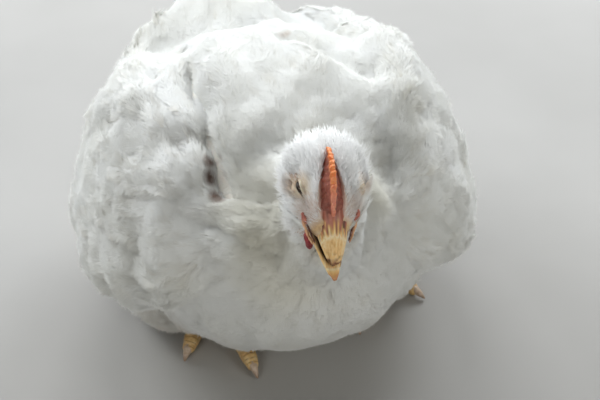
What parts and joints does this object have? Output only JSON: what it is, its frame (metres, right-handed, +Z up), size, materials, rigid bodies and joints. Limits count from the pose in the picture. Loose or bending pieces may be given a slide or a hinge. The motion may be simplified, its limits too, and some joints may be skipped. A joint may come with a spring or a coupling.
{
  "type": "chicken",
  "caption": "White broiler chicken resting on its belly with folded wings, drawn-in neck and lowered head, toes showing below the breast.",
  "frame": {"origin": "on the floor, at the middle of the bird's box seen from above", "axes": "+Z up, the bird faces -Y, its left side is at +X"},
  "size_m": [0.2182, 0.2898, 0.1811],
  "materials": {
    "plumage": "soft white feathers",
    "comb": "bare red skin",
    "lobe": "bare pinkish skin",
    "horn": "satin yellow horn",
    "eye": "wet",
    "shank": "yellow scaled skin",
    "claw": "pale horn"
  },
  "bodies": {
    "root": {"beak_lower": "horn", "beak_upper": "horn", "claw_left_1": "claw", "claw_left_2": "claw", "claw_left_3": "claw", "claw_left_4": "claw", "claw_right_1": "claw", "claw_right_2": "claw", "claw_right_3": "claw", "claw_right_4": "claw", "comb": "comb", "ear_lobe_left": "lobe", "ear_lobe_right": "lobe", "eye_left": "eye", "eye_right": "eye", "flight_left": "plumage", "flight_right": "plumage", "foot_left": "shank", "foot_right": "shank", "head": "plumage", "neck": "plumage", "shank_left": "shank", "shank_right": "shank", "tail": "plumage", "thigh_left": "plumage", "thigh_right": "plumage", "trunk": "plumage", "wattle_left": "comb", "wattle_right": "comb", "wing_left": "plumage", "wing_right": "plumage"}
  },
  "joints": []
}
